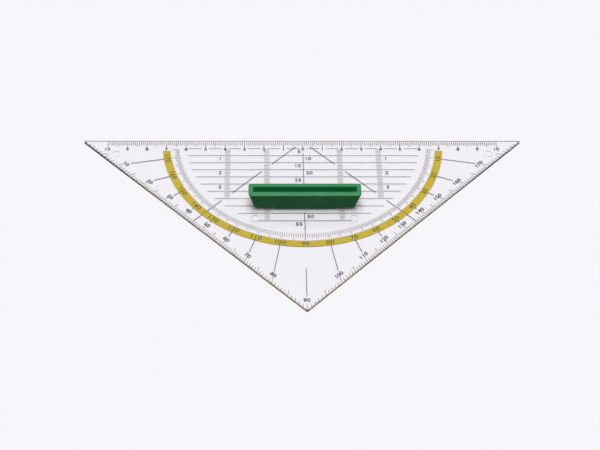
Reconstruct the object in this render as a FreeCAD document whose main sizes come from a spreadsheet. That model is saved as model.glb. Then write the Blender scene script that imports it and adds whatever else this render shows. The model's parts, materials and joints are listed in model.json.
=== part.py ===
import FreeCAD
import Part
import math
import os
import Sketcher

# Geometry set square with a pull-off handle.
#
# A clear acrylic plate, a right-angled isosceles triangle, lies on four low studs.
# Its scales are printed on the underside: black line work and one yellow protractor band.
# A moulded handle stands on it, with two pegs in two holes of the plate.
#
# Frame: +X along the long edge, +Y from the right-angled corner towards the long edge,
# +Z up. The origin is under the middle of the plate's outline, at the feet of the studs.
# The zero point of every scale is the middle of the long edge. A "drop" is a distance
# from the long edge towards the right-angled corner.

# Driving sizes in millimetres: name, value, meaning
SIZES = (
    ("hypotenuse", 226.0, "long edge, measured between the sharp corners"),
    ("corner_radius", 0.5, "rounding of the three corners, more than the bevel"),
    ("plate_thickness", 1.6, "clear plate"),
    ("edge_bevel", 0.4, "bevel round the top of the plate, at 45 degrees"),
    ("stud_diameter", 4.0, "round studs under the plate, which keep ink off the paper"),
    ("stud_height", 0.5, "gap that the studs leave under the plate"),
    ("tip_stud_inset", 17.6, "from each sharp tip to its stud, along the long edge"),
    ("tip_stud_drop", 8.8, "drop of the studs near the tips"),
    ("inner_stud_x", 24.5, "the two inner studs, each side of the middle"),
    ("inner_stud_drop", 53.5, "drop of the inner studs"),
    ("handle_drop", 45.2, "drop of the handle's middle"),
    ("grip_height", 10.5, "grip from its underside to its rim"),
    ("grip_top_length", 56.1, "grip at the rim"),
    ("grip_top_depth", 8.6, "grip at the rim"),
    ("grip_base_length", 50.4, "grip at its underside"),
    ("grip_base_depth", 5.4, "grip at its underside"),
    ("grip_corner_radius", 1.8, "rounding of the grip's four slanting edges"),
    ("grip_rim_radius", 0.6, "rounding round the outside of the rim"),
    ("trough_end_wall", 2.35, "wall at each end of the trough"),
    ("trough_side_wall", 2.55, "wall along each side of the trough, at the rim"),
    ("trough_floor", 2.5, "material left under the trough"),
    ("trough_floor_width", 1.6, "width of the trough's floor"),
    ("foot_length", 30.0, "foot under the grip, which stands on the plate"),
    ("foot_depth", 5.2, "foot, front to back"),
    ("foot_height", 0.8, "gap that the foot leaves under the grip"),
    ("peg_length", 6.0, "each peg, along the handle"),
    ("peg_width", 3.0, "each peg, front to back"),
    ("peg_spacing", 20.0, "between the middles of the pegs"),
    ("peg_end_gap", 0.3, "from a peg's end up to the plate's underside"),
    ("peg_lead_in", 0.4, "chamfer round each peg's end"),
    ("peg_clearance", 0.05, "gap all round a peg in its hole"),
    ("black_ink", 0.04, "thickness of the black print"),
    ("yellow_ink", 0.08, "thickness of the yellow print, which also covers the black"),
    ("print_margin", 0.35, "from the edges of the plate to the print"),
    ("edge_tick_width", 0.22, "ticks of the edge scale"),
    ("column_tick_width", 0.14, "ticks of the upright scales"),
    ("degree_tick_width", 0.17, "ticks of the degree ring and of the leg scale"),
    ("thin_line", 0.2, "parallel lines"),
    ("bold_line", 0.28, "centre line, diagonals and pointers"),
    ("scale_end_margin", 12.5, "least room between the edge scale's end and a tip"),
    ("tick_one", 2.1, "edge scale, each millimetre"),
    ("tick_five", 3.1, "edge scale, each 5 mm"),
    ("tick_ten", 3.9, "edge scale, each 10 mm"),
    ("digit_gap", 1.7, "half of each break in the first parallel line, at a numeral"),
    ("line_pitch", 5.0, "between the parallel lines"),
    ("line_field_gap", 3.6, "from the parallel lines' field to the degree ring"),
    ("column_width", 2.8, "ticks of the upright scales"),
    ("inner_column_x", 17.2, "near side of the inner upright scales"),
    ("outer_column_x", 37.2, "near side of the outer upright scales"),
    ("column_start_drop", 6.0, "first tick of the upright scales"),
    ("inner_column_end", 55.0, "last tick of the inner upright scales"),
    ("outer_column_end", 40.0, "last tick of the outer upright scales"),
    ("diagonal_start", 3.7, "start of the 45 degree lines, across and down"),
    ("diagonal_gap", 1.2, "from an upright scale to a 45 degree line"),
    ("centre_start_drop", 8.0, "start of the centre line"),
    ("centre_gap", 8.2, "break in the centre line, at the handle's middle"),
    ("band_leg_gap", 7.8, "from the protractor band to the nearest point of a leg"),
    ("band_width", 3.9, "yellow protractor band"),
    ("band_end_drop", 6.6, "drop of the band's square ends"),
    ("ring_band_gap", 0.8, "from the long degree ticks to the band"),
    ("ring_long_tick", 3.8, "degree ring, each 5 degrees"),
    ("ring_tick", 2.5, "degree ring, each degree"),
    ("pointer_lap", 0.8, "overlap of a pointer with the band"),
    ("label_inset", 5.1, "from a leg to the middle of its numerals"),
    ("label_room", 2.1, "from a pointer's end to the middle of its numeral"),
    ("bare_field", 14.0, "left unprinted under the band, before the 90 degree pointer"),
    ("leg_tick", 2.3, "leg scale, each degree"),
    ("leg_long_tick", 4.1, "leg scale, each 5 degrees"),
)

# Divisions of every scale, in millimetres or degrees
HALF_STEP = 5
FULL_STEP = 10

# Protractor angles in degrees, with 0 at the left tip and 180 at the right tip
LEG_ANGLE = 45
UPRIGHT = 90
DIAGONAL_ANGLES = (LEG_ANGLE, 2 * UPRIGHT - LEG_ANGLE)
RING_ANGLES = range(5, 176)
LEG_ANGLES = range(1, 180)
POINTER_ANGLES = range(FULL_STEP, 180, FULL_STEP)

# Two lengths that differ by less than this are equal
CLOSE = 1e-3

SIZE_NAMES = {name for name, value, meaning in SIZES}
doc = FreeCAD.newDocument("geometry_set_square")
sheet = doc.addObject("Spreadsheet::Sheet", "sizes")


def fill_sheet():
    """Write each driving size to the sheet, with its name as the cell's alias."""
    for row, (name, value, meaning) in enumerate(SIZES, start=1):
        sheet.set(f"A{row}", name)
        sheet.set(f"B{row}", str(value))
        sheet.set(f"C{row}", meaning)
        sheet.setAlias(f"B{row}", name)
    doc.recompute()


def cells(expression):
    """The expression with each size name turned into a reference to its cell."""
    words = []
    for word in expression.split():
        words.append(f"sizes.{word}" if word in SIZE_NAMES else word)
    return " ".join(words)


def read(name):
    """Present value of one size on the sheet."""
    return float(sheet.get(name))


def evaluate(expression):
    """Present value of an expression of the sheet."""
    return float(sheet.evalExpression(cells(expression)))


# Places that several sub-parts share, as expressions of the sheet
HALF_LONG_EDGE = "( hypotenuse / 2 )"
CORNER_LOSS = "( corner_radius * ( sqrt( 2 ) - 1 ) )"
ZERO_Y = f"( ( {HALF_LONG_EDGE} - {CORNER_LOSS} ) / 2 )"
PLATE_TOP = "( stud_height + plate_thickness )"
HANDLE_Y = f"( {ZERO_Y} - handle_drop )"
HOLE_LENGTH = "( peg_length + 2 * peg_clearance )"
HOLE_WIDTH = "( peg_width + 2 * peg_clearance )"
GRIP_LOW = f"( {PLATE_TOP} + foot_height )"
GRIP_HIGH = f"( {GRIP_LOW} + grip_height )"
TROUGH_LOW = f"( {GRIP_LOW} + trough_floor )"
TROUGH_SHARE = "( trough_floor / grip_height )"
TROUGH_LENGTH = "( grip_top_length - 2 * trough_end_wall )"
TROUGH_FLOOR_LENGTH = (
    "( grip_base_length"
    f" + ( grip_top_length - grip_base_length ) * {TROUGH_SHARE} - 2 * trough_end_wall )"
)

# Radii of the protractor, worked inwards from the legs
BAND_OUTER = f"( {HALF_LONG_EDGE} / sqrt( 2 ) - band_leg_gap )"
BAND_INNER = f"( {BAND_OUTER} - band_width )"
RING_LONG_OUTER = f"( {BAND_INNER} - ring_band_gap )"
RING_INNER = f"( {RING_LONG_OUTER} - ring_long_tick )"
FIELD_RADIUS = f"( {RING_INNER} - line_field_gap )"


def new_body(name):
    """A PartDesign body whose label is the node's name."""
    body = doc.addObject("PartDesign::Body", name)
    body.Label = name
    return body


def new_sketch(body, name, level):
    """A sketch on the body's XY plane, lifted to a level given as an expression."""
    sketch = body.newObject("Sketcher::SketchObject", name)
    plane = next(item for item in body.Origin.OriginFeatures if item.Role == "XY_Plane")
    sketch.AttachmentSupport = [(plane, "")]
    sketch.MapMode = "FlatFace"
    sketch.setExpression("AttachmentOffset.Base.z", cells(level))
    return sketch


def polygon(sketch, corners):
    """Closed straight-sided outline through corners given as (x, y) expressions.

    Each corner is drawn at its present value, then held by two driving distances.
    """
    points = [
        FreeCAD.Vector(evaluate(across), evaluate(along), 0) for across, along in corners
    ]
    lines = []
    for start, end in zip(points, points[1:] + points[:1]):
        lines.append(sketch.addGeometry(Part.LineSegment(start, end), False))
    for line, follower in zip(lines, lines[1:] + lines[:1]):
        sketch.addConstraint(Sketcher.Constraint("Coincident", line, 2, follower, 1))
    for line, point, corner in zip(lines, points, corners):
        hold_point(sketch, line, 1, point, corner)


def hold_point(sketch, item, place, point, where):
    """Tie one point of a sketch to an (x, y) pair of expressions."""
    for kind, value, expression in zip(("DistanceX", "DistanceY"), point, where):
        number = sketch.addConstraint(Sketcher.Constraint(kind, -1, 1, item, place, value))
        sketch.setExpression(f"Constraints[{number}]", cells(expression))


def rectangle(sketch, middle, length, depth):
    """Rectangle round a middle (x, y), all as expressions."""
    across, along = middle
    polygon(sketch, (
        (f"( {across} - ( {length} ) / 2 )", f"( {along} - ( {depth} ) / 2 )"),
        (f"( {across} + ( {length} ) / 2 )", f"( {along} - ( {depth} ) / 2 )"),
        (f"( {across} + ( {length} ) / 2 )", f"( {along} + ( {depth} ) / 2 )"),
        (f"( {across} - ( {length} ) / 2 )", f"( {along} + ( {depth} ) / 2 )"),
    ))


def circle(sketch, middle, diameter):
    """Circle round a middle (x, y), all as expressions."""
    point = FreeCAD.Vector(evaluate(middle[0]), evaluate(middle[1]), 0)
    radius = evaluate(diameter) / 2
    item = sketch.addGeometry(Part.Circle(point, FreeCAD.Vector(0, 0, 1), radius), False)
    number = sketch.addConstraint(Sketcher.Constraint("Diameter", item, 2 * radius))
    sketch.setExpression(f"Constraints[{number}]", cells(diameter))
    hold_point(sketch, item, 3, point, middle)


def pad(body, name, sketch, length, downwards=False):
    """Pad a sketch by a length given as an expression."""
    feature = body.newObject("PartDesign::Pad", name)
    feature.Profile = sketch
    feature.Reversed = downwards
    feature.setExpression("Length", cells(length))
    body.Tip = feature
    return feature


def dress(body, kind, name, base, edges, field, amount):
    """Fillet or chamfer the edges of a feature that a test picks out."""
    doc.recompute()
    names = [
        f"Edge{number}"
        for number, edge in enumerate(base.Shape.Edges, start=1)
        if edges(edge)
    ]
    feature = body.newObject(kind, name)
    feature.Base = (base, names)
    feature.setExpression(field, cells(amount))
    body.Tip = feature
    return feature


def rises(edge):
    """True for an edge that climbs, upright or slanting."""
    return edge.BoundBox.ZLength > CLOSE


def lies_at(level):
    """A test for level edges at a height given as an expression."""
    height = evaluate(level)
    return lambda edge: (
        edge.BoundBox.ZLength < CLOSE and abs(edge.BoundBox.ZMin - height) < CLOSE
    )


def make_plate():
    """Clear triangular plate with bevelled edges, two peg holes and four studs."""
    body = new_body("clear_plate")
    outline = new_sketch(body, "plate_outline", "stud_height")
    polygon(outline, (
        (f"( 0 - {HALF_LONG_EDGE} )", ZERO_Y),
        ("0", f"( {ZERO_Y} - {HALF_LONG_EDGE} )"),
        (HALF_LONG_EDGE, ZERO_Y),
    ))
    slab = pad(body, "plate_slab", outline, "plate_thickness")
    rounded = dress(
        body, "PartDesign::Fillet", "plate_corners", slab, rises, "Radius", "corner_radius"
    )
    dress(
        body, "PartDesign::Chamfer", "plate_bevel", rounded, lies_at(PLATE_TOP), "Size", "edge_bevel"
    )
    studs = new_sketch(body, "stud_circles", "stud_height")
    for side in ("- 1", "1"):
        tip_x = f"( {side} * ( {HALF_LONG_EDGE} - tip_stud_inset ) )"
        circle(studs, (tip_x, f"( {ZERO_Y} - tip_stud_drop )"), "stud_diameter")
        inner_x = f"( {side} * inner_stud_x )"
        circle(studs, (inner_x, f"( {ZERO_Y} - inner_stud_drop )"), "stud_diameter")
    studded = pad(body, "studs", studs, "stud_height", downwards=True)
    holes = new_sketch(body, "peg_hole_outlines", "stud_height")
    for side in ("- 1", "1"):
        hole_middle = (f"( {side} * peg_spacing / 2 )", HANDLE_Y)
        rectangle(holes, hole_middle, HOLE_LENGTH, HOLE_WIDTH)
    pocket = body.newObject("PartDesign::Pocket", "peg_holes")
    pocket.Profile = holes
    pocket.Reversed = True
    pocket.setExpression("Length", cells("plate_thickness"))
    body.Tip = pocket
    doc.recompute()
    cut = studded.Shape.Volume - pocket.Shape.Volume
    hole = evaluate(f"{HOLE_LENGTH} * {HOLE_WIDTH} * plate_thickness")
    assert abs(cut - 2 * hole) < CLOSE, "the peg holes cut a wrong volume"
    return body


def loft(body, kind, name, high, low):
    """Ruled loft from a high sketch down to a low one, added or cut."""
    feature = body.newObject(kind, name)
    feature.Profile = high
    feature.Sections = [low]
    feature.Ruled = True
    body.Tip = feature
    return feature


def make_handle():
    """Moulded grip with a trough in its top, a foot and two pegs, in one piece."""
    body = new_body("handle")
    middle = ("0", HANDLE_Y)
    base = new_sketch(body, "grip_base", GRIP_LOW)
    rectangle(base, middle, "grip_base_length", "grip_base_depth")
    rim = new_sketch(body, "grip_rim", GRIP_HIGH)
    rectangle(rim, middle, "grip_top_length", "grip_top_depth")
    block = loft(body, "PartDesign::AdditiveLoft", "grip_block", rim, base)
    cornered = dress(
        body, "PartDesign::Fillet", "grip_corners", block, rises, "Radius", "grip_corner_radius"
    )
    dress(
        body, "PartDesign::Fillet", "grip_rim_round", cornered, lies_at(GRIP_HIGH), "Radius",
        "grip_rim_radius"
    )
    floor = new_sketch(body, "trough_floor_outline", TROUGH_LOW)
    rectangle(floor, middle, TROUGH_FLOOR_LENGTH, "trough_floor_width")
    mouth = new_sketch(body, "trough_mouth_outline", GRIP_HIGH)
    rectangle(mouth, middle, TROUGH_LENGTH, "grip_top_depth - 2 * trough_side_wall")
    loft(body, "PartDesign::SubtractiveLoft", "trough", mouth, floor)
    foot = new_sketch(body, "foot_outline", PLATE_TOP)
    rectangle(foot, middle, "foot_length", "foot_depth")
    pad(body, "foot", foot, "foot_height")
    pegs = new_sketch(body, "peg_outlines", PLATE_TOP)
    for side in ("- 1", "1"):
        rectangle(pegs, (f"( {side} * peg_spacing / 2 )", HANDLE_Y), "peg_length", "peg_width")
    shanks = pad(body, "pegs", pegs, "plate_thickness - peg_end_gap", downwards=True)
    dress(
        body, "PartDesign::Chamfer", "peg_lead_ins", shanks, lies_at("stud_height + peg_end_gap"),
        "Size", "peg_lead_in"
    )
    return body


def at(across, drop):
    """Point of the print from its place across and its drop from the long edge."""
    return FreeCAD.Vector(across, evaluate(ZERO_Y) - drop, 0)


def polar(angle, radius):
    """Point of the print from its protractor angle, 0 at the left tip, and radius."""
    turn = math.radians(angle)
    return at(-radius * math.cos(turn), radius * math.sin(turn))


def stroke(start, end, width):
    """One printed line of the black layer, as a thin bar between two points."""
    run = end - start
    ink = read("black_ink")
    corner = FreeCAD.Vector(0, -width / 2, read("stud_height") - ink)
    bar = Part.makeBox(run.Length, width, ink, corner)
    bar.rotate(FreeCAD.Vector(), FreeCAD.Vector(0, 0, 1), math.degrees(math.atan2(run.y, run.x)))
    bar.translate(start)
    return bar


def leg_radius(angle, inset=0.0):
    """Distance from the zero point to a line inside a leg, at a protractor angle."""
    turn = math.radians(angle)
    reach = evaluate(HALF_LONG_EDGE) - inset * math.sqrt(2)
    return reach / (abs(math.cos(turn)) + math.sin(turn))


def columns():
    """Each upright scale as its near side, far side and last drop."""
    for place in ("inner", "outer"):
        near = read(f"{place}_column_x")
        yield near, near + read("column_width"), read(f"{place}_column_end")


def edge_scale():
    """Millimetre ticks along the long edge, to the last full centimetre each side."""
    reach = evaluate(f"{HALF_LONG_EDGE} - scale_end_margin")
    last = FULL_STEP * int(reach // FULL_STEP)
    margin = read("print_margin")
    bars = []
    for place in range(-last, last + 1):
        length = read("tick_one")
        if place % HALF_STEP == 0:
            length = read("tick_five")
        if place % FULL_STEP == 0:
            length = read("tick_ten")
        end = at(place, margin + length)
        bars.append(stroke(at(place, margin), end, read("edge_tick_width")))
    return bars


def spans(low, high, gaps):
    """What is left of a span when the gaps, as (low, high) pairs, are taken out."""
    start = low
    for gap_low, gap_high in sorted(gaps):
        if gap_high <= start or gap_low >= high:
            continue
        if gap_low > start:
            yield start, gap_low
        start = gap_high
    if start < high:
        yield start, high


def parallel_lines():
    """Lines parallel to the long edge. The first is broken at the centimetre numerals."""
    bars = []
    radius = evaluate(FIELD_RADIUS)
    pitch = read("line_pitch")
    break_half = read("digit_gap")
    for number in range(1, math.ceil(radius / pitch)):
        drop = number * pitch
        half = math.sqrt(radius ** 2 - drop ** 2)
        gaps = []
        if number == 1:
            last = FULL_STEP * int(half // FULL_STEP)
            numerals = range(-last, last + 1, FULL_STEP)
            gaps = [(across - break_half, across + break_half) for across in numerals]
        for start, end in spans(-half, half, gaps):
            bars.append(stroke(at(start, drop), at(end, drop), read("thin_line")))
    return bars


def centre_line():
    """Upright line from under the zero to the degree ring, with a break at the handle."""
    low = evaluate("handle_drop - centre_gap / 2")
    high = evaluate("handle_drop + centre_gap / 2")
    bars = []
    for start, end in spans(read("centre_start_drop"), evaluate(RING_LONG_OUTER), [(low, high)]):
        bars.append(stroke(at(0, start), at(0, end), read("bold_line")))
    return bars


def diagonal_lines():
    """The 45 degree lines, broken at the upright scales and run out to the legs."""
    end = leg_radius(LEG_ANGLE, read("print_margin")) / math.sqrt(2)
    room = read("diagonal_gap")
    gaps = [(near - room, far + room) for near, far, last in columns()]
    bars = []
    for side in (-1, 1):
        for low, high in spans(read("diagonal_start"), end, gaps):
            bars.append(stroke(at(side * low, low), at(side * high, high), read("bold_line")))
    return bars


def upright_scales():
    """Millimetre ticks in four columns, left out where a parallel line takes their place."""
    bars = []
    first = read("column_start_drop")
    pitch = read("line_pitch")
    for near, far, end in columns():
        for step in range(int(end - first) + 1):
            drop = first + step
            if abs(drop / pitch - round(drop / pitch)) < CLOSE:
                continue
            for side in (-1, 1):
                start = at(side * near, drop)
                bars.append(stroke(start, at(side * far, drop), read("column_tick_width")))
    return bars


def degree_ring():
    """Degree ticks inside the band. The centre line and the diagonals mark their own."""
    bars = []
    inner = evaluate(RING_INNER)
    for angle in RING_ANGLES:
        if angle == UPRIGHT or angle in DIAGONAL_ANGLES:
            continue
        length = read("ring_tick") if angle % HALF_STEP else read("ring_long_tick")
        end = polar(angle, inner + length)
        bars.append(stroke(polar(angle, inner), end, read("degree_tick_width")))
    return bars


def leg_scale():
    """Degree ticks along both legs, each aimed at the zero point."""
    bars = []
    for angle in LEG_ANGLES:
        if angle in DIAGONAL_ANGLES:
            continue
        outer = leg_radius(angle, read("print_margin"))
        length = read("leg_tick") if angle % HALF_STEP else read("leg_long_tick")
        start = polar(angle, outer - length)
        bars.append(stroke(start, polar(angle, outer), read("degree_tick_width")))
    return bars


def degree_pointers():
    """Lines from the band to the numerals beside the legs, each 10 degrees."""
    bars = []
    for angle in POINTER_ANGLES:
        start = evaluate(f"{BAND_OUTER} - pointer_lap")
        if angle == UPRIGHT:
            start = evaluate(f"{BAND_OUTER} + bare_field")
        end = leg_radius(angle, read("label_inset")) - read("label_room")
        if end > start:
            bars.append(stroke(polar(angle, start), polar(angle, end), read("bold_line")))
    return bars


def degree_band():
    """Yellow band of the protractor, square at its ends, round the black lines in it."""
    ink = read("yellow_ink")
    radius = evaluate(BAND_OUTER)
    centre = FreeCAD.Vector(0, evaluate(ZERO_Y), read("stud_height") - ink)
    outer = Part.makeCylinder(radius, ink, centre)
    inner = Part.makeCylinder(evaluate(BAND_INNER), ink, centre)
    corner = centre - FreeCAD.Vector(radius, radius + read("band_end_drop"), 0)
    window = Part.makeBox(2 * radius, radius, ink, corner)
    return [outer.cut(inner).common(window)]


def make_print(name, bars, in_its_way):
    """One printed layer as a node, with what lies in its way cut out of it."""
    shape = Part.makeCompound(bars).cut(Part.makeCompound(in_its_way))
    shape = Part.makeCompound(shape.Solids)
    feature = doc.addObject("Part::Feature", name)
    feature.Label = name
    feature.Shape = shape
    return feature


def through_plate(body):
    """The studs and peg holes of the plate as upright columns, where no print can lie."""
    rise = FreeCAD.Vector(0, 0, read("stud_height"))
    columns_through = []
    for item in body.Group:
        if item.Name in ("stud_circles", "peg_hole_outlines"):
            for wire in item.Shape.Wires:
                face = Part.Face(wire)
                face.translate(-rise)
                columns_through.append(face.extrude(2 * rise))
    return columns_through


def check_all(nodes):
    """Stop if any object of the document failed, or a node has no sound shape."""
    for item in doc.Objects:
        state = set(item.State)
        if state & {"Invalid", "Error"}:
            raise RuntimeError(f"{item.Name} failed: {item.State}")
    for node in nodes:
        shape = node.Shape
        if shape.isNull() or not shape.isValid() or not shape.Solids:
            raise RuntimeError(f"{node.Label} has no sound shape")


def main():
    fill_sheet()
    plate = make_plate()
    handle = make_handle()
    doc.recompute()
    keep_out = through_plate(plate)
    centre = centre_line()
    diagonals = diagonal_lines()
    pointers = degree_pointers()
    nodes = [
        plate,
        handle,
        make_print("edge_scale", edge_scale(), keep_out),
        make_print("parallel_lines", parallel_lines(), keep_out + centre + diagonals),
        make_print("centre_line", centre, keep_out),
        make_print("diagonal_lines", diagonals, keep_out),
        make_print("upright_scales", upright_scales(), keep_out + diagonals),
        make_print("degree_ring", degree_ring(), keep_out + centre + diagonals),
        make_print("degree_pointers", pointers, keep_out),
        make_print("degree_band", degree_band(), keep_out + diagonals + pointers),
        make_print("leg_scale", leg_scale(), keep_out + diagonals),
    ]
    doc.recompute()
    check_all(nodes)
    os.makedirs("parts", exist_ok=True)
    for node in nodes:
        node.Shape.exportStep(os.path.join("parts", f"{node.Label}.step"))
        box = node.Shape.BoundBox
        print(
            f"{node.Label}: {len(node.Shape.Solids)} solids, {node.Shape.Volume:.3f} mm3, "
            f"x {box.XMin:.2f} {box.XMax:.2f}, y {box.YMin:.2f} {box.YMax:.2f}, "
            f"z {box.ZMin:.2f} {box.ZMax:.2f}"
        )


main()
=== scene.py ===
"""Finish, numerals, stage and camera for a geometry set square with a pull-off handle.

Everything is in metres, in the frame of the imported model: +X along the long edge, +Y from the
right-angled corner to the long edge, +Z up. The zero point of every scale is the middle of the
long edge, and a "drop" is a distance from that edge towards the right-angled corner.
"""

import json
import math

import bmesh
import bpy
from mathutils import Euler, Matrix, Vector


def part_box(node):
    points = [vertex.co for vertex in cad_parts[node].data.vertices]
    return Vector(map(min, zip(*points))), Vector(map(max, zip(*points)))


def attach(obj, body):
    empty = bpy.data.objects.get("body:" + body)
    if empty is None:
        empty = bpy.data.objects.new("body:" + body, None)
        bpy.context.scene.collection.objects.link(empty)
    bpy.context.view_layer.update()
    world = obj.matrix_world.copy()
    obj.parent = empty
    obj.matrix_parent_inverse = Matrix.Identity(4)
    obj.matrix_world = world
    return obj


bl_info = {
    "name": "Geometry Set Square",
    "version": (1, 0, 0),
    "blender": (4, 5, 0),
    "location": "View3D > Sidebar > Set Square",
    "description": "Finishes, numerals, stage and camera for a geometry set square",
    "category": "Object",
}

MM = 0.001
CM = 10 * MM

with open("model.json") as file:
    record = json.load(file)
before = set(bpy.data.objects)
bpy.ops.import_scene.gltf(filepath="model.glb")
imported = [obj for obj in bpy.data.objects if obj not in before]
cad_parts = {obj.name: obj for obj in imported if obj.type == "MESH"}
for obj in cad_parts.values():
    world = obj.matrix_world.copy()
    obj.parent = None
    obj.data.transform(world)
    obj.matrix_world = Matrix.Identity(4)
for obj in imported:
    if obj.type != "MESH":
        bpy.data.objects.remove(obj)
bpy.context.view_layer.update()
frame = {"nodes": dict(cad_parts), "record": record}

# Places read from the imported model
HANDLE_LOW, HANDLE_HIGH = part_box("handle")
ZERO_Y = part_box("clear_plate")[1].y
PRINT_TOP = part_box("edge_scale")[1].z
BAND_OUTER = ZERO_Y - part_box("degree_band")[0].y
RIGHT_LEG = next(mount for mount in frame["record"]["mounts"] if mount["name"] == "right_leg")
HALF_LONG_EDGE = RIGHT_LEG["pos_m"][0] + ZERO_Y - RIGHT_LEG["pos_m"][1]

# What the numerals count, with angles in degrees from the left tip
EDGE_CENTIMETRES = range(-10, 11)
LINE_MILLIMETRES = range(5, 60, 5)
COLUMN_CENTIMETRES = (1, 2, 3)
UPRIGHT = 90
NUMERAL_ANGLES = range(10, 2 * UPRIGHT, 10)

# Direction from the right-angled corner to the long edge
NORTH = Vector((0, 1))

# Steps of each curve in a numeral, and the distance within which its corners are joined
OUTLINE_STEPS = 3
WELD_DISTANCE = 1e-6

# Sizes of the patterns in the finishes
ACRYLIC_FLOW = 14 * MM
INK_MOTTLE = 0.6 * MM
ABS_GRAIN = 0.25 * MM
ABS_FLOW = 9 * MM

ACRYLIC_IOR = 1.49
ABS_IOR = 1.54

# Painted sheen on the handle's top faces: an even share, and what the patches add to it at most
PAINTED_SHEEN_SHARE = 0.035
PAINTED_SHEEN_PATCHES = 0.06

# Reach of the painted shade on the plate's edge faces: in from a leg, measured along the long
# edge, and in from the long edge
LEG_EDGE_REACH = 1.0 * MM
LONG_EDGE_REACH = 0.6 * MM
# Levels where the painted edge faces start, above the print, and where their painted glow ends
EDGE_FOOT = PRINT_TOP + 0.01 * MM
PAINTED_GLOW_TOP = PRINT_TOP + 0.55 * MM
# Painted shade of the long edge as a share of the legs', and what it takes from theirs at the tips
LONG_EDGE_SHARE = 0.4
# The lower part of an edge has a painted glow from the middle to this share of the way to a tip
PAINTED_GLOW_END = 0.76
# Strength of the painted glow, which the edge faces give out as light
PAINTED_GLOW_STRENGTH = 0.2
# Painted shade of an edge's upper part and painted glow of its lower part, by share of way to a
# tip
EDGE_PAINTED_SHADES = (
    (0.0, "6E6230"), (0.45, "57502C"), (0.68, "3A3626"), (0.76, "242424"), (0.92, "2B2B2B"),
    (1.0, "8A8A8A"),
)
EDGE_PAINTED_GLOWS = (
    (0.0, "E4CE5A"), (0.6, "D8C250"), (0.72, "A89848"), (0.78, "2B2B2B"), (0.92, "2B2B2B"),
    (1.0, "9A9A9A"),
)

FLOOR_SIDE = 6.0
# How much of the light that falls on the floor comes back up to the object
FLOOR_RETURN = 0.1
# Enough bounces for light to run along inside the plate from edge to edge
PLATE_BOUNCES = 48

CAMERA_DISTANCE = 0.8456
CAMERA_ELEVATION = math.radians(47.95)
CAMERA_AZIMUTH = math.radians(-92.3)
CAMERA_ROLL = math.radians(1.65)
CAMERA_LENS = 102.8
CAMERA_SENSOR = 36
CAMERA_CLIP_START = 0.01
TARGET_ACROSS = -2.46 * MM
TARGET_DROP = 57.93 * MM
# Level at which the print appears, raised by the plate that it is seen through
APPARENT_LEVEL = 1.2 * MM


def at(across, drop):
    """Point of the print from its place across and its drop from the long edge."""
    return Vector((across, ZERO_Y - drop))


def polar(angle, radius):
    """Point of the print from its protractor angle in degrees, 0 at the left tip."""
    turn = math.radians(angle)
    return at(-radius * math.cos(turn), radius * math.sin(turn))


def leg_radius(angle, inset):
    """Distance from the zero point to a line inside a leg, at a protractor angle."""
    turn = math.radians(angle)
    return (HALF_LONG_EDGE - inset * math.sqrt(2)) / (abs(math.cos(turn)) + math.sin(turn))


class NumeralSizes(bpy.types.PropertyGroup):
    """Sizes and places of the printed numerals"""

    height: bpy.props.FloatProperty(
        name="Height", description="Height of the numerals inside the plate",
        default=2.05 * MM, unit="LENGTH"
    )
    edge_height: bpy.props.FloatProperty(
        name="Edge height", description="Height of the centimetre numerals under the edge scale",
        default=1.9 * MM, unit="LENGTH"
    )
    band_height: bpy.props.FloatProperty(
        name="Band height", description="Height of the numerals in the yellow band",
        default=2.45 * MM, unit="LENGTH"
    )
    spread: bpy.props.FloatProperty(
        name="Spread", description="Width of the numerals against that of the plain font",
        default=1.22, min=0.1
    )
    weight: bpy.props.FloatProperty(
        name="Weight", description="Widening of the strokes, as a share of the letter size",
        default=0.003, min=0
    )
    bold_weight: bpy.props.FloatProperty(
        name="Bold weight", description="Widening of the strokes by the edge and in the band",
        default=0.008, min=0
    )
    ink: bpy.props.FloatProperty(
        name="Ink", description="Thickness of the printed numerals",
        default=0.04 * MM, unit="LENGTH"
    )
    bite: bpy.props.FloatProperty(
        name="Bite", description="How far the ink reaches into the plate, so that it is wetted",
        default=0.005 * MM, unit="LENGTH"
    )
    edge_drop: bpy.props.FloatProperty(
        name="Edge drop", description="Drop of the centimetre numerals under the edge scale",
        default=5.35 * MM, unit="LENGTH"
    )
    line_gap: bpy.props.FloatProperty(
        name="Line gap", description="From the centre line to the near side of its numerals",
        default=1.3 * MM, unit="LENGTH"
    )
    line_drop: bpy.props.FloatProperty(
        name="Line drop", description="From a parallel line down to the middle of its numeral",
        default=2.1 * MM, unit="LENGTH"
    )
    column_x: bpy.props.FloatProperty(
        name="Column X", description="Numerals beside the outer upright scales",
        default=42.3 * MM, unit="LENGTH"
    )
    band_width: bpy.props.FloatProperty(
        name="Band width", description="Width of the yellow band that holds the numerals",
        default=3.9 * MM, unit="LENGTH"
    )
    leg_inset: bpy.props.FloatProperty(
        name="Leg inset", description="From a leg to the middle of its numerals",
        default=5.1 * MM, unit="LENGTH"
    )


class FinishColours(bpy.types.PropertyGroup):
    """Colours of the finishes, as sRGB hex values"""

    acrylic: bpy.props.StringProperty(
        name="Acrylic", description="Tint of the clear acrylic", default="FFFDFE"
    )
    black_ink: bpy.props.StringProperty(
        name="Black ink", description="Screen-printed black", default="2A2A2E"
    )
    yellow_ink: bpy.props.StringProperty(
        name="Yellow ink", description="Screen-printed yellow", default="CBB42A"
    )
    olive_ink: bpy.props.StringProperty(
        name="Olive ink", description="Black numerals with yellow over them", default="3C370F"
    )
    handle: bpy.props.StringProperty(
        name="Handle", description="Green of the moulded handle", default="148344"
    )
    # Pale colour of the painted sheen on the handle's top faces
    rubbed: bpy.props.StringProperty(
        name="Painted sheen", description="Pale tone on the handle's top faces", default="BCD9D2"
    )
    floor: bpy.props.StringProperty(
        name="Floor", description="Pale floor and backdrop", default="F5F4F8"
    )


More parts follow.
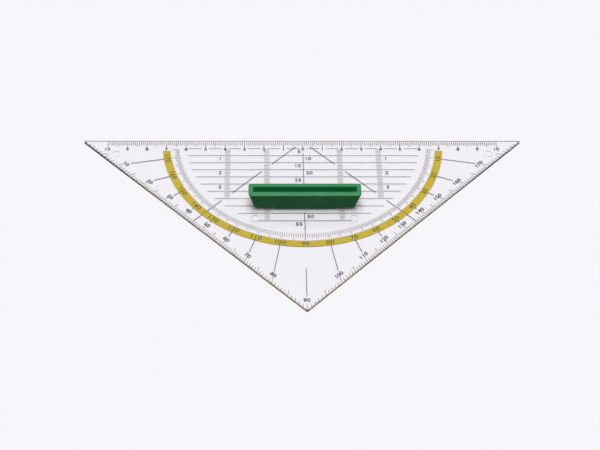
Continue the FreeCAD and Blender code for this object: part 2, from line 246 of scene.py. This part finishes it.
class StageLight(bpy.types.PropertyGroup):
    """Strength of the plain studio light"""

    overhead: bpy.props.FloatProperty(
        name="Overhead", description="Strength of the soft overhead lamp", default=2.4, min=0
    )
    overhead_width: bpy.props.FloatProperty(
        name="Overhead width", description="Angle that the soft overhead lamp fills",
        default=math.radians(28), subtype="ANGLE"
    )
    overhead_lean: bpy.props.FloatProperty(
        name="Overhead lean", description="Lean of the overhead lamp to the side of the camera",
        default=math.radians(8), subtype="ANGLE"
    )
    sky: bpy.props.FloatProperty(
        name="Sky", description="Strength of the even light from all round", default=0.26, min=0
    )


def linear(hex_value):
    """Linear RGBA from an sRGB hex value."""
    channels = [int(hex_value[place : place + 2], 16) / 255 for place in (0, 2, 4)]
    return [
        channel / 12.92 if channel <= 0.04045 else ((channel + 0.055) / 1.055) ** 2.4
        for channel in channels
    ] + [1.0]


def add_node(tree, kind, settings=None, **links):
    """Add a node, with settings by attribute or socket name, and links by socket name."""
    node = tree.nodes.new(kind)
    for name, value in (settings or {}).items():
        if name in node.inputs:
            node.inputs[name].default_value = value
        else:
            setattr(node, name, value)
    for name, output in links.items():
        key = name.replace("_", " ")
        found = [socket for socket in node.inputs if socket.name == key and socket.enabled]
        socket = next((one for one in found if not one.is_linked), None)
        tree.links.new(output, socket)
    return node


def new_material(name):
    """An empty node material and its output node."""
    material = bpy.data.materials.new(name)
    material.use_nodes = True
    tree = material.node_tree
    tree.nodes.clear()
    return material, tree, tree.nodes.new("ShaderNodeOutputMaterial")


def feed(tree, socket, value):
    """Link an output to a socket, or set the socket to a plain value."""
    if isinstance(value, bpy.types.NodeSocket):
        tree.links.new(value, socket)
    else:
        socket.default_value = value


def math_node(tree, operation, *values, clamp=False):
    """A sum, product, comparison or the like of outputs and plain numbers."""
    node = add_node(tree, "ShaderNodeMath", {"operation": operation, "use_clamp": clamp})
    for socket, value in zip(node.inputs, values):
        feed(tree, socket, value)
    return node.outputs[0]


def mix_shaders(tree, share, first, second):
    """A mix of two surfaces, with the share of the second."""
    node = add_node(tree, "ShaderNodeMixShader", Fac=share)
    tree.links.new(first, node.inputs[1])
    tree.links.new(second, node.inputs[2])
    return node.outputs[0]


def mix_colours(tree, share, first, second):
    """A mix of two colours, with the share of the second."""
    node = add_node(tree, "ShaderNodeMix", {"data_type": "RGBA"})
    # The sockets of the factor and of the two colours, past those of other kinds of value
    for index, value in zip((0, 6, 7), (share, first, second)):
        feed(tree, node.inputs[index], value)
    return node.outputs[2]


def place_on_object(tree):
    """Place in the object's own coordinates, in metres."""
    return add_node(tree, "ShaderNodeTexCoord").outputs["Object"]


def upward(tree):
    """Upward part of the direction that a face looks in: 1 on top, 0 on an upright side."""
    normal = add_node(tree, "ShaderNodeNewGeometry").outputs["True Normal"]
    return add_node(tree, "ShaderNodeSeparateXYZ", Vector=normal).outputs[2]


def noise(tree, place, size, detail):
    """A cloudy pattern about 0.5, with patches of a given size."""
    settings = {"Scale": 1 / size, "Detail": detail}
    return add_node(tree, "ShaderNodeTexNoise", settings, Vector=place).outputs[0]


def spread_over(tree, pattern, low, high):
    """A pattern from 0 to 1, spread over another range."""
    settings = {"To Min": low, "To Max": high}
    return add_node(tree, "ShaderNodeMapRange", settings, Value=pattern).outputs[0]


def relief(tree, pattern, strength, distance):
    """Small hills and hollows that follow a pattern."""
    settings = {"Strength": strength, "Distance": distance}
    return add_node(tree, "ShaderNodeBump", settings, Height=pattern).outputs[0]


def toned(tree, hex_value, value):
    """A colour made lighter and darker by a pattern about 1."""
    settings = {"Color": linear(hex_value)}
    return add_node(tree, "ShaderNodeHueSaturation", settings, Value=value).outputs[0]


def ramp(tree, share, stops):
    """Colours along a share from 0 to 1, given as (position, hex value) pairs."""
    node = add_node(tree, "ShaderNodeValToRGB", Fac=share)
    elements = node.color_ramp.elements
    while len(elements) < len(stops):
        elements.new(1.0)
    for element, (position, hex_value) in zip(elements, stops):
        element.position = position
        element.color = linear(hex_value)
    return node.outputs[0]


def clear_acrylic():
    """Injection-moulded acrylic (PMMA), mirror smooth, with painted shade and painted glow on its
    edges.

    Light that runs along inside the plate leaves at its upright edges. This is painted on them:
    painted shade where it has crossed the whole plate, and a painted glow in the band's colour
    where the band is near.
    """
    material, tree, output = new_material("moulded_acrylic")
    place = place_on_object(tree)
    waviness = relief(tree, noise(tree, place, ACRYLIC_FLOW, 1.0), 0.1, 0.01 * MM)
    smooth = add_node(
        tree, "ShaderNodeBsdfPrincipled", {
            "Base Color": linear(bpy.context.scene.finish_colours.acrylic),
            "Roughness": 0.0,
            "IOR": ACRYLIC_IOR,
            "Transmission Weight": 1.0,
        },
        Normal=waviness,
    )

    # Share of painted edge shade on each face: upright faces of the outline, above the studs
    across, along, level = add_node(tree, "ShaderNodeSeparateXYZ", Vector=place).outputs
    steepness = math_node(tree, "SUBTRACT", 1.0, math_node(tree, "ABSOLUTE", upward(tree)))
    above_studs = math_node(tree, "GREATER_THAN", level, EDGE_FOOT)
    sideways = math_node(tree, "ABSOLUTE", across)
    drop = math_node(tree, "SUBTRACT", ZERO_Y, along)
    to_corner = math_node(tree, "ADD", sideways, drop)
    on_leg = math_node(tree, "GREATER_THAN", to_corner, HALF_LONG_EDGE - LEG_EDGE_REACH)
    on_long_edge = math_node(tree, "LESS_THAN", drop, LONG_EDGE_REACH)
    light_side = math_node(tree, "MULTIPLY", on_long_edge, LONG_EDGE_SHARE)
    side = math_node(tree, "MAXIMUM", on_leg, light_side)
    # The painted shade is lighter at the tips, where a leg and the long edge meet
    at_tip = math_node(tree, "MULTIPLY", on_leg, on_long_edge)
    side = math_node(
        tree, "SUBTRACT", side, math_node(tree, "MULTIPLY", at_tip, LONG_EDGE_SHARE)
    )
    edge = math_node(tree, "MULTIPLY", side, above_studs)
    painted_edge_share = math_node(tree, "MULTIPLY", edge, steepness)

    # Painted shade that changes on the way to a tip, and painted glow low down near the band
    towards_tip = math_node(tree, "DIVIDE", sideways, HALF_LONG_EDGE, clamp=True)
    low = math_node(tree, "LESS_THAN", level, PAINTED_GLOW_TOP)
    painted_edge_colour = mix_colours(
        tree, low, ramp(tree, towards_tip, EDGE_PAINTED_SHADES), ramp(tree, towards_tip, EDGE_PAINTED_GLOWS)
    )
    by_band = math_node(tree, "LESS_THAN", towards_tip, PAINTED_GLOW_END)
    painted_glow_mask = math_node(tree, "MULTIPLY", low, by_band)
    # Painted shade on the edge faces, with a painted glow given out as light low down
    painted_edge = add_node(
        tree, "ShaderNodeBsdfPrincipled", {"Roughness": 0.3, "IOR": ACRYLIC_IOR},
        Base_Color=painted_edge_colour, Emission_Color=painted_edge_colour,
        Emission_Strength=math_node(tree, "MULTIPLY", painted_glow_mask, PAINTED_GLOW_STRENGTH),
    )
    solid = mix_shaders(tree, painted_edge_share, smooth.outputs[0], painted_edge.outputs[0])

    # Lamp light and bounced light pass straight through to the print and the floor
    passing = add_node(tree, "ShaderNodeBsdfTransparent")
    path = add_node(tree, "ShaderNodeLightPath")
    lighting = math_node(
        tree, "MAXIMUM", path.outputs["Is Shadow Ray"], path.outputs["Is Diffuse Ray"]
    )
    tree.links.new(
        mix_shaders(tree, lighting, solid, passing.outputs[0]), output.inputs["Surface"]
    )
    return material


def screen_ink(name, hex_value):
    """Screen-printed ink: matte, with the slight mottle of a thin layer."""
    material, tree, output = new_material(name)
    mottle = noise(tree, place_on_object(tree), INK_MOTTLE, 2.0)
    colour = toned(tree, hex_value, spread_over(tree, mottle, 0.94, 1.06))
    surface = add_node(tree, "ShaderNodeBsdfPrincipled", {"Roughness": 0.6}, Base_Color=colour)
    tree.links.new(surface.outputs[0], output.inputs["Surface"])
    return material


def moulded_green():
    """Injection-moulded ABS with a fine spark-eroded grain, and a painted sheen that makes its top
    faces paler.
    """
    colours = bpy.context.scene.finish_colours
    material, tree, output = new_material("moulded_abs_green")
    place = place_on_object(tree)
    grain = noise(tree, place, ABS_GRAIN, 3.0)
    flow = noise(tree, place, ABS_FLOW, 2.0)
    green = toned(tree, colours.handle, spread_over(tree, flow, 0.92, 1.08))
    # Painted sheen: the top faces are made paler, evenly and in patches
    patchy = math_node(tree, "MULTIPLY_ADD", flow, PAINTED_SHEEN_PATCHES, PAINTED_SHEEN_SHARE)
    rubbed = math_node(tree, "MULTIPLY", upward(tree), patchy, clamp=True)
    surface = add_node(
        tree, "ShaderNodeBsdfPrincipled", {"IOR": ABS_IOR},
        Base_Color=mix_colours(tree, rubbed, green, linear(colours.rubbed)),
        Roughness=spread_over(tree, grain, 0.42, 0.54),
        Normal=relief(tree, grain, 0.15, 0.02 * MM),
    )
    tree.links.new(surface.outputs[0], output.inputs["Surface"])
    return material


def pale_floor(colour):
    """Matte pale floor, which looks pale but sends little light back up to the object."""
    material, tree, output = new_material("pale_floor")
    path = add_node(tree, "ShaderNodeLightPath").outputs
    # Seen directly, or through the plate with no mirror bounce on the way
    direct = math_node(tree, "LESS_THAN", path["Glossy Depth"], 0.5)
    through = math_node(tree, "MULTIPLY", path["Is Transmission Ray"], direct)
    seen = math_node(tree, "MAXIMUM", path["Is Camera Ray"], through)
    pale = add_node(tree, "ShaderNodeBsdfDiffuse", {"Color": colour})
    dim_grey = (FLOOR_RETURN, FLOOR_RETURN, FLOOR_RETURN, 1.0)
    dim = add_node(tree, "ShaderNodeBsdfDiffuse", {"Color": dim_grey})
    tree.links.new(
        mix_shaders(tree, seen, dim.outputs[0], pale.outputs[0]), output.inputs["Surface"]
    )
    return material


def pale_room(colour, strength):
    """Backdrop that looks as pale as the floor, and lights the object evenly from all round."""
    world = bpy.data.worlds.new("pale_room")
    world.use_nodes = True
    tree = world.node_tree
    tree.nodes.clear()
    output = tree.nodes.new("ShaderNodeOutputWorld")
    path = add_node(tree, "ShaderNodeLightPath").outputs
    seen = math_node(tree, "MAXIMUM", path["Is Camera Ray"], path["Is Transmission Ray"])
    white = (1.0, 1.0, 1.0, 1.0)
    lit = add_node(tree, "ShaderNodeBackground", {"Color": white, "Strength": strength})
    pale = add_node(tree, "ShaderNodeBackground", {"Color": colour, "Strength": 1.0})
    tree.links.new(
        mix_shaders(tree, seen, lit.outputs[0], pale.outputs[0]), output.inputs["Surface"]
    )
    return world


def finish_nodes(names, material):
    """Give CAD nodes a finish, in place of the plain one that they came with."""
    for name in names:
        mesh = frame["nodes"][name].data
        mesh.materials.clear()
        mesh.materials.append(material)


def numeral_outline(text, height, weight):
    """Mesh of one numeral, centred on the origin, of a given height and 1 unit thick."""
    sizes = bpy.context.scene.numeral_sizes
    curve = bpy.data.curves.new("numeral", "FONT")
    curve.body = text
    curve.offset = weight
    curve.extrude = 0.5
    curve.resolution_u = OUTLINE_STEPS
    shape = bpy.data.objects.new("numeral", curve)
    mesh = bpy.data.meshes.new_from_object(shape)
    bpy.data.objects.remove(shape)
    bpy.data.curves.remove(curve)
    xs = [vertex.co.x for vertex in mesh.vertices]
    ys = [vertex.co.y for vertex in mesh.vertices]
    scale = height / (max(ys) - min(ys))
    mesh.transform(Matrix.Translation((-(max(xs) + min(xs)) / 2, -(max(ys) + min(ys)) / 2, 0)))
    mesh.transform(Matrix.Diagonal((scale * sizes.spread, scale, 1, 1)))
    return mesh


def half_width(text, height, weight):
    """Half the width of a numeral of a given height."""
    mesh = numeral_outline(text, height, weight)
    width = max(vertex.co.x for vertex in mesh.vertices)
    bpy.data.meshes.remove(mesh)
    return width


def print_numerals(name, labels, height, weight, ink="screen_ink_black"):
    """One printed group of numerals, given as (text, middle, up direction) each."""
    sizes = bpy.context.scene.numeral_sizes
    middle_z = PRINT_TOP + sizes.bite - sizes.ink / 2
    work = bmesh.new()
    for text, middle, up in labels:
        mesh = numeral_outline(text, height, weight)
        turn = Euler((0, 0, math.atan2(-up.x, up.y))).to_matrix().to_4x4()
        mesh.transform(Matrix.Diagonal((1, 1, sizes.ink, 1)))
        mesh.transform(Matrix.Translation((middle.x, middle.y, middle_z)) @ turn)
        work.from_mesh(mesh)
        bpy.data.meshes.remove(mesh)
    bmesh.ops.remove_doubles(work, verts=work.verts, dist=WELD_DISTANCE)
    bmesh.ops.recalc_face_normals(work, faces=work.faces)
    mesh = bpy.data.meshes.new(name)
    work.to_mesh(mesh)
    work.free()
    piece = bpy.data.objects.new(name, mesh)
    bpy.context.scene.collection.objects.link(piece)
    mesh.materials.append(bpy.data.materials[ink])
    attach(piece, "plate")


class SETSQUARE_OT_finish_plate(bpy.types.Operator):
    """Give the plate its clear acrylic"""

    bl_idname = "setsquare.finish_plate"
    bl_label = "Clear plate"

    def execute(self, context):
        finish_nodes(["clear_plate"], clear_acrylic())
        return {"FINISHED"}


class SETSQUARE_OT_finish_print(bpy.types.Operator):
    """Give the printed lines and the band their inks"""

    bl_idname = "setsquare.finish_print"
    bl_label = "Printed lines and band"

    def execute(self, context):
        colours = context.scene.finish_colours
        lines = [
            name for name in frame["nodes"] if name not in ("clear_plate", "handle", "degree_band")
        ]
        finish_nodes(lines, screen_ink("screen_ink_black", colours.black_ink))
        finish_nodes(["degree_band"], screen_ink("screen_ink_yellow", colours.yellow_ink))
        screen_ink("screen_ink_olive", colours.olive_ink)
        return {"FINISHED"}


class SETSQUARE_OT_finish_handle(bpy.types.Operator):
    """Give the handle its moulded green"""

    bl_idname = "setsquare.finish_handle"
    bl_label = "Handle"

    def execute(self, context):
        finish_nodes(["handle"], moulded_green())
        return {"FINISHED"}


class SETSQUARE_OT_edge_numerals(bpy.types.Operator):
    """Print the centimetre numerals along the long edge"""

    bl_idname = "setsquare.edge_numerals"
    bl_label = "Edge numerals"

    def execute(self, context):
        sizes = context.scene.numeral_sizes
        labels = [
            (str(abs(place)), at(CM * place, sizes.edge_drop), NORTH)
            for place in EDGE_CENTIMETRES
        ]
        print_numerals("edge_numerals", labels, sizes.edge_height, sizes.bold_weight)
        return {"FINISHED"}


class SETSQUARE_OT_line_numerals(bpy.types.Operator):
    """Print the numerals of the parallel lines, clear of the handle, and of the upright scales"""

    bl_idname = "setsquare.line_numerals"
    bl_label = "Line and column numerals"

    def execute(self, context):
        sizes = context.scene.numeral_sizes
        labels = []
        for number in LINE_MILLIMETRES:
            text = str(number)
            # Whole centimetres stand right of the centre line, halves left of it
            side = 1 if number % 10 == 0 else -1
            across = side * (sizes.line_gap + half_width(text, sizes.height, sizes.weight))
            middle = at(across, number * MM + sizes.line_drop)
            if not HANDLE_LOW.y < middle.y < HANDLE_HIGH.y:
                labels.append((text, middle, NORTH))
        print_numerals("line_numerals", labels, sizes.height, sizes.weight)
        labels = [
            (str(number), at(side * sizes.column_x, CM * number + sizes.line_drop), NORTH)
            for number in COLUMN_CENTIMETRES
            for side in (-1, 1)
        ]
        print_numerals("column_numerals", labels, sizes.height, sizes.weight)
        return {"FINISHED"}


class SETSQUARE_OT_degree_numerals(bpy.types.Operator):
    """Print the degree numerals, in the band and along the legs"""

    bl_idname = "setsquare.degree_numerals"
    bl_label = "Degree numerals"

    def execute(self, context):
        sizes = context.scene.numeral_sizes
        in_band = []
        by_legs = []
        for angle in NUMERAL_ANGLES:
            middle = polar(angle, BAND_OUTER - sizes.band_width / 2)
            in_band.append((str(2 * UPRIGHT - angle), middle, at(0, 0) - middle))
            inward = Vector((1 if angle < UPRIGHT else -1, 1)) if angle != UPRIGHT else NORTH
            middle = polar(angle, leg_radius(angle, sizes.leg_inset))
            by_legs.append((str(angle), middle, inward))
        print_numerals(
            "band_numerals", in_band, sizes.band_height, sizes.bold_weight, "screen_ink_olive"
        )
        print_numerals("leg_numerals", by_legs, sizes.height, sizes.weight)
        return {"FINISHED"}


class SETSQUARE_OT_stage(bpy.types.Operator):
    """Lay the pale floor and set up the plain studio light"""

    bl_idname = "setsquare.stage"
    bl_label = "Stage"

    def execute(self, context):
        light = context.scene.stage_light
        colour = linear(context.scene.finish_colours.floor)

        half = FLOOR_SIDE / 2
        mesh = bpy.data.meshes.new("floor")
        corners = [(-half, -half, 0), (half, -half, 0), (half, half, 0), (-half, half, 0)]
        mesh.from_pydata(corners, [], [(0, 1, 2, 3)])
        floor = bpy.data.objects.new("floor", mesh)
        context.scene.collection.objects.link(floor)
        mesh.materials.append(pale_floor(colour))

        context.scene.world = pale_room(colour, light.sky)

        lamp = bpy.data.lights.new("overhead", "SUN")
        lamp.energy = light.overhead
        lamp.angle = light.overhead_width
        overhead = bpy.data.objects.new("overhead", lamp)
        overhead.rotation_euler = (light.overhead_lean, 0, 0)
        context.scene.collection.objects.link(overhead)
        context.scene.view_settings.view_transform = "Standard"
        context.scene.cycles.max_bounces = PLATE_BOUNCES
        context.scene.cycles.transmission_bounces = PLATE_BOUNCES
        return {"FINISHED"}


class SETSQUARE_OT_camera(bpy.types.Operator):
    """Place the camera at the viewing angle of a desk user"""

    bl_idname = "setsquare.camera"
    bl_label = "Camera"

    def execute(self, context):
        camera = bpy.data.cameras.new("camera")
        camera.lens = CAMERA_LENS
        camera.sensor_width = CAMERA_SENSOR
        camera.clip_start = CAMERA_CLIP_START
        towards = Vector((
            math.cos(CAMERA_AZIMUTH) * math.cos(CAMERA_ELEVATION),
            math.sin(CAMERA_AZIMUTH) * math.cos(CAMERA_ELEVATION),
            math.sin(CAMERA_ELEVATION),
        ))
        level = (-towards).cross(Vector((0, 0, 1))).normalized()
        upright = towards.cross(level)
        right = level * math.cos(CAMERA_ROLL) + upright * math.sin(CAMERA_ROLL)
        up = upright * math.cos(CAMERA_ROLL) - level * math.sin(CAMERA_ROLL)
        target = at(TARGET_ACROSS, TARGET_DROP).to_3d() + Vector((0, 0, APPARENT_LEVEL))
        view = bpy.data.objects.new("camera", camera)
        view.matrix_world = Matrix.Translation(target + towards * CAMERA_DISTANCE) @ Matrix(
            (right, up, towards)
        ).transposed().to_4x4()
        context.scene.collection.objects.link(view)
        context.scene.camera = view
        return {"FINISHED"}


OPERATORS = (
    SETSQUARE_OT_camera,
    SETSQUARE_OT_stage,
    SETSQUARE_OT_finish_plate,
    SETSQUARE_OT_finish_print,
    SETSQUARE_OT_finish_handle,
    SETSQUARE_OT_edge_numerals,
    SETSQUARE_OT_line_numerals,
    SETSQUARE_OT_degree_numerals,
)


class SETSQUARE_PT_pieces(bpy.types.Panel):
    """Lists the steps that dress the set square"""

    bl_label = "Set Square"
    bl_space_type = "VIEW_3D"
    bl_region_type = "UI"
    bl_category = "Set Square"

    def draw(self, context):
        for operator in OPERATORS:
            self.layout.operator(operator.bl_idname)


GROUPS = {
    "numeral_sizes": NumeralSizes,
    "finish_colours": FinishColours,
    "stage_light": StageLight,
}


def register():
    for name, group in GROUPS.items():
        bpy.utils.register_class(group)
        setattr(bpy.types.Scene, name, bpy.props.PointerProperty(type=group))
    for item in OPERATORS + (SETSQUARE_PT_pieces,):
        bpy.utils.register_class(item)


def unregister():
    for item in (SETSQUARE_PT_pieces,) + OPERATORS[::-1]:
        bpy.utils.unregister_class(item)
    for name, group in GROUPS.items():
        delattr(bpy.types.Scene, name)
        bpy.utils.unregister_class(group)


def main():
    register()
    for operator in OPERATORS:
        group, name = operator.bl_idname.split(".")
        getattr(getattr(bpy.ops, group), name)()


if __name__ == "__main__":
    main()
